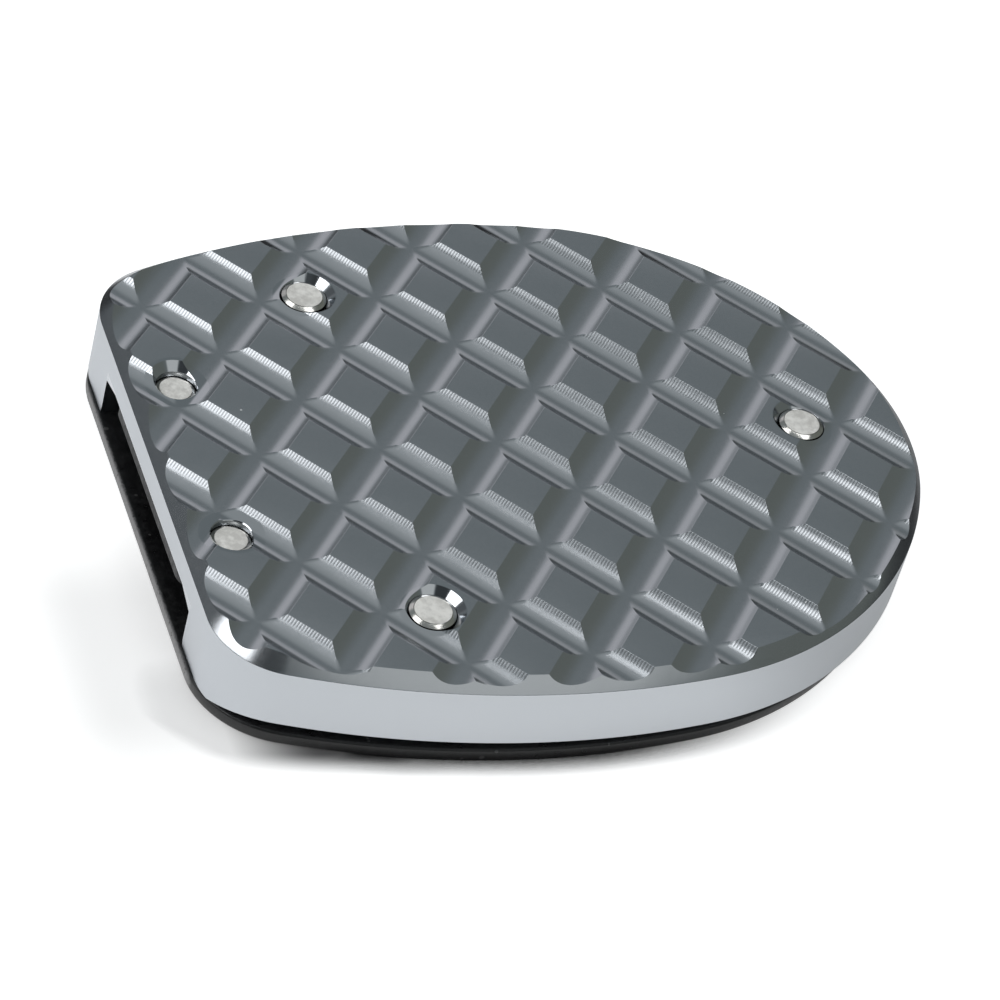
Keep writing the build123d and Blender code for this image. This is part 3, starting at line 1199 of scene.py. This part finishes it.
@dataclass(frozen=True)
class Floor:
    """The pale paper floor: places on it are in millimetres, and a shade runs from 0 to 1.

    It is white to the camera, with a painted shadow under the near edge and round the near mouth corner, and
    painted dark in reflections to the far right and far behind. From below it shows nothing, so that the
    underside can be looked at.
    """

    half: float = 2000.0
    gap: float = 0.02
    paper: Colour = (0.86, 0.86, 0.86, 1.0)
    shadow: Colour = (0.03, 0.03, 0.032, 1.0)
    roughness: float = 0.9
    seen_strength: float = 0.72
    mirrored_strength: float = 0.5
    right_slant: float = 0.25
    right_falling: Ramp = Ramp(0.0, 30.0, 0.0, 0.3)
    right_dark: Ramp = Ramp(47.0, 60.0, 0.0, 0.8)
    right_end: Ramp = Ramp(70.0, 95.0, 0.0, 0.98)
    back_end: Ramp = Ramp(42.0, 60.0, 0.0, 0.98)
    contact_reach: float = 4.0
    contact_samples: int = 6
    contact_open: Ramp = Ramp(0.52, 0.86)
    contact_near: Ramp = Ramp(-20.0, -26.0)
    contact_left: Ramp = Ramp(-42.0, -27.0)
    contact_right: Ramp = Ramp(28.0, -4.0)
    left_outer: Ramp = Ramp(-62.0, -50.0)
    left_inner: Ramp = Ramp(-24.0, -38.0, 0.0, 0.31)
    left_back: Ramp = Ramp(7.0, -10.0)
    left_front: Ramp = Ramp(-41.0, -24.0)
    deep_left: Ramp = Ramp(-48.0, -31.0, 0.0, 0.95)
    deep_right: Ramp = Ramp(-16.0, -25.0)
    faint_left: Ramp = Ramp(-54.0, -45.0, 0.0, 0.42)
    faint_right: Ramp = Ramp(-30.0, -38.0)
    faint_slant: float = 0.91
    faint_front: Ramp = Ramp(-72.5, -67.5)
    corner_slant: float = 0.14
    corner_front: Ramp = Ramp(-39.9, -36.1)
    corner_back: Ramp = Ramp(-8.0, -22.0)
    under_middle: float = -3.0
    under_half_length: float = 40.0
    under_half_width: float = 32.0
    under_edge: float = 0.1
    under_heads: float = 1.0

    def mirror_shade(self, g: Graph, place: Any) -> bpy.types.NodeSocket:
        """Work out the painted shade that the floor shows in reflections: darker to the far right and far
        behind.

        Args:
            g: Graph of the material.
            place: Object coordinates.

        Returns:
            The shade.
        """
        to_right = g.dot(place, (1.0 / MM, self.right_slant / MM, 0.0))
        beyond = g.math("MAXIMUM", g.ramp(to_right, self.right_dark), g.ramp(to_right, self.right_end))
        falling = g.math("MAXIMUM", g.ramp(to_right, self.right_falling), beyond)
        return g.math("MAXIMUM", falling, g.ramp(g.millimetres(place, BACK), self.back_end))

    def contact_shade(self, g: Graph, place: Any) -> bpy.types.NodeSocket:
        """Work out the painted shadow close under the near edge, where the object covers the sky.

        Args:
            g: Graph of the material.
            place: Object coordinates.

        Returns:
            The shade.
        """
        along = g.millimetres(place, RIGHT)
        near = g.ramp(g.millimetres(place, BACK), self.contact_near)
        middle = g.math("MULTIPLY", g.ramp(along, self.contact_left), g.ramp(along, self.contact_right))
        reach = {"Distance": self.contact_reach * MM}
        cover = g.add("ShaderNodeAmbientOcclusion", reach, samples=self.contact_samples)
        covered = g.math("SUBTRACT", 1.0, g.ramp(cover.outputs["AO"], self.contact_open))
        return g.math("MULTIPLY", g.math("MULTIPLY", near, middle), covered)

    def corner_shade(self, g: Graph, place: Any) -> bpy.types.NodeSocket:
        """Work out the soft painted shadow left of the mouth edge and round the near mouth corner.

        Args:
            g: Graph of the material.
            place: Object coordinates.

        Returns:
            The shade.
        """
        along = g.millimetres(place, RIGHT)
        back = g.millimetres(place, BACK)
        beside = g.math("MULTIPLY", g.ramp(along, self.left_outer), g.ramp(along, self.left_inner))
        reach = g.math("MULTIPLY", g.ramp(back, self.left_back), g.ramp(back, self.left_front))
        deep = g.math("MULTIPLY", g.ramp(along, self.deep_left), g.ramp(along, self.deep_right))
        wide = g.math("MULTIPLY", g.ramp(along, self.faint_left), g.ramp(along, self.faint_right))
        faint_edge = g.ramp(g.math("MULTIPLY_ADD", along, self.faint_slant, back), self.faint_front)
        corner = g.math("MAXIMUM", deep, g.math("MULTIPLY", wide, faint_edge))
        front_edge = g.ramp(g.math("MULTIPLY_ADD", along, self.corner_slant, back), self.corner_front)
        strip = g.math("MULTIPLY", front_edge, g.ramp(back, self.corner_back))
        return g.math("MAXIMUM", g.math("MULTIPLY", beside, reach), g.math("MULTIPLY", corner, strip))

    def open_side(self, g: Graph, place: Any, ray_length: Any) -> bpy.types.NodeSocket:
        """Mark what passes the floor: its back, and rays that have just left the underside or a screw head.

        Args:
            g: Graph of the material.
            place: Object coordinates.
            ray_length: Length of the ray that meets the floor.

        Returns:
            A mask that is one where the floor shows nothing.
        """
        back_side = g.add("ShaderNodeNewGeometry").outputs["Backfacing"]
        share = (1.0 / (self.under_half_length * MM), 1.0 / (self.under_half_width * MM), 0.0)
        scaled = g.vector("MULTIPLY", place, share).outputs[0]
        middle = (self.under_middle / self.under_half_length, 0.0, 0.0)
        under = g.math("LESS_THAN", g.vector("DISTANCE", scaled, middle).outputs["Value"], 1.0)
        deeper = (self.under_heads - self.under_edge) * MM
        limit = g.math("MULTIPLY_ADD", under, deeper, self.under_edge * MM)
        return g.math("MAXIMUM", back_side, g.math("LESS_THAN", ray_length, limit))

    def build(self) -> None:
        """Lay the floor and wire its paper."""
        half, low = self.half, -self.gap
        corners = np.array([(-half, -half, low), (half, -half, low), (half, half, low), (-half, half, low)])
        floor = place_solid("floor", Solid(corners, [[0, 1, 2, 3]]))
        floor.data.transform(Matrix.Scale(MM, 4))
        material = bpy.data.materials.new("floor_paper")
        material.use_nodes = True
        g = Graph(material.node_tree)
        shader = material.node_tree.nodes["Principled BSDF"]
        shader.inputs["Roughness"].default_value = self.roughness
        shader.inputs["Specular IOR Level"].default_value = 0.0
        shader.inputs["Emission Color"].default_value = (1.0, 1.0, 1.0, 1.0)
        ray = g.add("ShaderNodeLightPath").outputs
        place = g.add("ShaderNodeTexCoord").outputs["Object"]
        seen, mirrored = ray["Is Camera Ray"], ray["Is Glossy Ray"]
        # Painted shade in reflections and painted shadow seen by the camera both darken the paper's colour
        # and glow.
        unlit = g.math("MULTIPLY", self.mirror_shade(g, place), mirrored)
        soft = g.math("MULTIPLY", self.corner_shade(g, place), seen)
        dim = g.math("MAXIMUM", g.math("MAXIMUM", self.contact_shade(g, place), soft), unlit)
        g.feed(shader.inputs["Base Color"], g.blend(dim, self.paper, self.shadow))
        in_mirror = g.math("MULTIPLY", mirrored, self.mirrored_strength)
        direct = g.math("MULTIPLY_ADD", seen, self.seen_strength, in_mirror)
        clear = g.math("SUBTRACT", 1.0, dim)
        g.feed(shader.inputs["Emission Strength"], g.math("MULTIPLY", direct, clear))
        nothing = g.add("ShaderNodeBsdfTransparent").outputs[0]
        passing = self.open_side(g, place, ray["Ray Length"])
        one_sided = g.add("ShaderNodeMixShader", {0: passing, 1: shader.outputs[0], 2: nothing})
        g.feed(material.node_tree.nodes["Material Output"].inputs["Surface"], one_sided.outputs[0])
        floor.data.materials.append(material)


@dataclass(frozen=True)
class Room:
    """The dim studio round the object: ramps on a direction's rise or on its cosine to a named direction."""

    walls: Colour = (0.188, 0.212, 0.219, 1.0)
    right_wall: Colour = (0.155, 0.17, 0.157, 1.0)
    left_wall: Colour = (0.12, 0.13, 0.135, 1.0)
    horizon: Colour = (0.04, 0.042, 0.045, 1.0)
    backdrop: Colour = (0.57, 0.57, 0.59, 1.0)
    ceiling: Colour = (0.36, 0.385, 0.39, 1.0)
    front_fill: Colour = (0.61, 0.63, 0.62, 1.0)
    hollow: Colour = (0.05, 0.055, 0.058, 1.0)
    below: Colour = (0.8, 0.8, 0.8, 1.0)
    right_turn: Ramp = Ramp(0.4, 0.75)
    left_turn: Ramp = Ramp(0.35, 0.6)
    left_top: Ramp = Ramp(0.55, 0.45)
    horizon_rise: Ramp = Ramp(0.17, 0.05)
    backdrop_turn: Ramp = Ramp(0.62, 0.88)
    backdrop_foot: Ramp = Ramp(0.15, 0.28)
    backdrop_top: Ramp = Ramp(0.53, 0.47)
    ceiling_way: Triple = (0.05, 0.30, 0.95)
    ceiling_turn: Ramp = Ramp(0.86, 0.97)
    front_way: Triple = (0.2, -0.70, 0.685)
    front_turn: Ramp = Ramp(0.925, 0.965)
    hollow_way: Triple = (-0.48, -0.50, 0.72)
    hollow_turn: Ramp = Ramp(0.90, 0.96)
    hollow_top: Ramp = Ramp(0.84, 0.76)
    below_rise: Ramp = Ramp(-0.02, -0.12)

    def build(self) -> None:
        """Fill the studio with light: walls, a low backdrop, a glow above, a front fill and a hollow."""
        world = bpy.data.worlds.new("studio")
        world.use_nodes = True
        bpy.context.scene.world = world
        g = Graph(world.node_tree)
        direction = g.add("ShaderNodeTexCoord").outputs["Generated"]
        up = g.dot(direction, UP)
        right = g.ramp(g.dot(direction, RIGHT), self.right_turn)
        colour = g.blend(right, self.walls, self.right_wall)
        colour = g.blend(g.ramp(up, self.horizon_rise), colour, self.horizon)
        low = g.math("MULTIPLY", g.ramp(up, self.backdrop_top), g.ramp(up, self.backdrop_foot))
        behind = g.ramp(g.dot(direction, BACK), self.backdrop_turn)
        colour = g.blend(g.math("MULTIPLY", low, behind), colour, self.backdrop)
        leftward = g.ramp(g.dot(direction, LEFT), self.left_turn)
        colour = g.blend(g.math("MULTIPLY", g.ramp(up, self.left_top), leftward), colour, self.left_wall)
        colour = g.blend(g.ramp(g.dot(direction, self.ceiling_way), self.ceiling_turn), colour, self.ceiling)
        colour = g.blend(g.ramp(g.dot(direction, self.front_way), self.front_turn), colour, self.front_fill)
        facing = g.ramp(g.dot(direction, self.hollow_way), self.hollow_turn)
        colour = g.blend(g.math("MULTIPLY", facing, g.ramp(up, self.hollow_top)), colour, self.hollow)
        colour = g.blend(g.ramp(up, self.below_rise), colour, self.below)
        g.feed(world.node_tree.nodes["Background"].inputs["Color"], colour)


@dataclass(frozen=True)
class Panel:
    """A light panel that faces straight down.

    Its place, size and height are in metres, its turn is in degrees and its power in watts.
    """

    name: str
    place: tuple[float, float]
    size: tuple[float, float]
    spin: float
    power: float
    height: float = 1.0

    def build(self) -> None:
        """Hang the panel."""
        data = bpy.data.lights.new(self.name, "AREA")
        data.shape = "RECTANGLE"
        data.size, data.size_y = self.size
        data.energy = self.power
        lamp = bpy.data.objects.new(self.name, data)
        lamp.location = (*self.place, self.height)
        lamp.rotation_euler = (0.0, 0.0, math.radians(self.spin))
        bpy.context.scene.collection.objects.link(lamp)


@dataclass
class Studio:
    """Camera, floor, room and light panels: the camera's place is in millimetres and its turn in degrees."""

    camera_place: Triple = (-160.167, -289.294, 288.961)
    camera_turn: Triple = (47.7886, -12.1028, -17.8096)
    lens: float = 149.0746
    sensor: float = 36.0
    clip: tuple[float, float] = (0.01, 50.0)
    floor: Floor = Floor()
    room: Room = Room()
    panels: tuple[Panel, ...] = (
        Panel("overhead_panel", (0.179, -0.124), (0.77, 0.33), -44.0, 1.9),
        Panel("left_panel", (-0.748, 0.237), (0.595, 0.63), -51.3, 2.7),
        Panel("side_panel", (-1.672, 0.325), (2.0, 0.7), -51.3, 13.0),
    )

    def build_camera(self) -> None:
        """Set the camera at the photograph's viewpoint."""
        data = bpy.data.cameras.new("camera")
        data.lens = self.lens
        data.sensor_width = self.sensor
        data.clip_start, data.clip_end = self.clip
        camera = bpy.data.objects.new("camera", data)
        camera.location = Vector(self.camera_place) * MM
        camera.rotation_euler = Euler([math.radians(a) for a in self.camera_turn], "XYZ")
        bpy.context.scene.collection.objects.link(camera)
        bpy.context.scene.camera = camera

    def build(self) -> None:
        """Build the studio and set how the picture is shown."""
        self.build_camera()
        self.floor.build()
        self.room.build()
        for panel in self.panels:
            panel.build()
        bpy.context.scene.view_settings.view_transform = "Standard"


def main() -> None:
    """Load the frame, build and dress the pieces, and set up the studio."""
    logging.basicConfig(level=logging.INFO, format="%(name)s %(message)s")
    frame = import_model()
    effects = Effects()
    plate = FootPlate()
    plate.dress(AnodisedAluminium("anodised_aluminium", effects))
    ClampPlate().dress(BlackCoating("black_coating", effects))
    large = ScrewSet(
        name="plate_screw_set",
        node="plate_screws",
        places=plate.plate_places,
        diameter=4.9,
        head=9.2,
        tip=3.9,
        tip_height=10.83,
        pitch=0.8,
        socket=3.0,
        socket_depth=1.6,
    )
    large.dress(ScrewSteel("plate_screw_steel", effects, large.tip_height))
    small = ScrewSet(
        name="mouth_screw_set",
        node="mouth_screws",
        places=plate.mouth_places,
        diameter=4.2,
        head=7.4,
        tip=3.4,
        tip_height=9.9,
        pitch=0.7,
        socket=2.5,
        socket_depth=1.3,
    )
    small.dress(ScrewSteel("mouth_screw_steel", effects, small.tip_height))
    pad = frame["nodes"]["pocket_pad"]
    pad.data.materials.clear()
    pad.data.materials.append(PadRubber("pad_rubber", effects).build())
    LOG.info("pocket_pad: the CAD node, with its own finish")
    Studio().build()


if __name__ == "__main__":
    main()
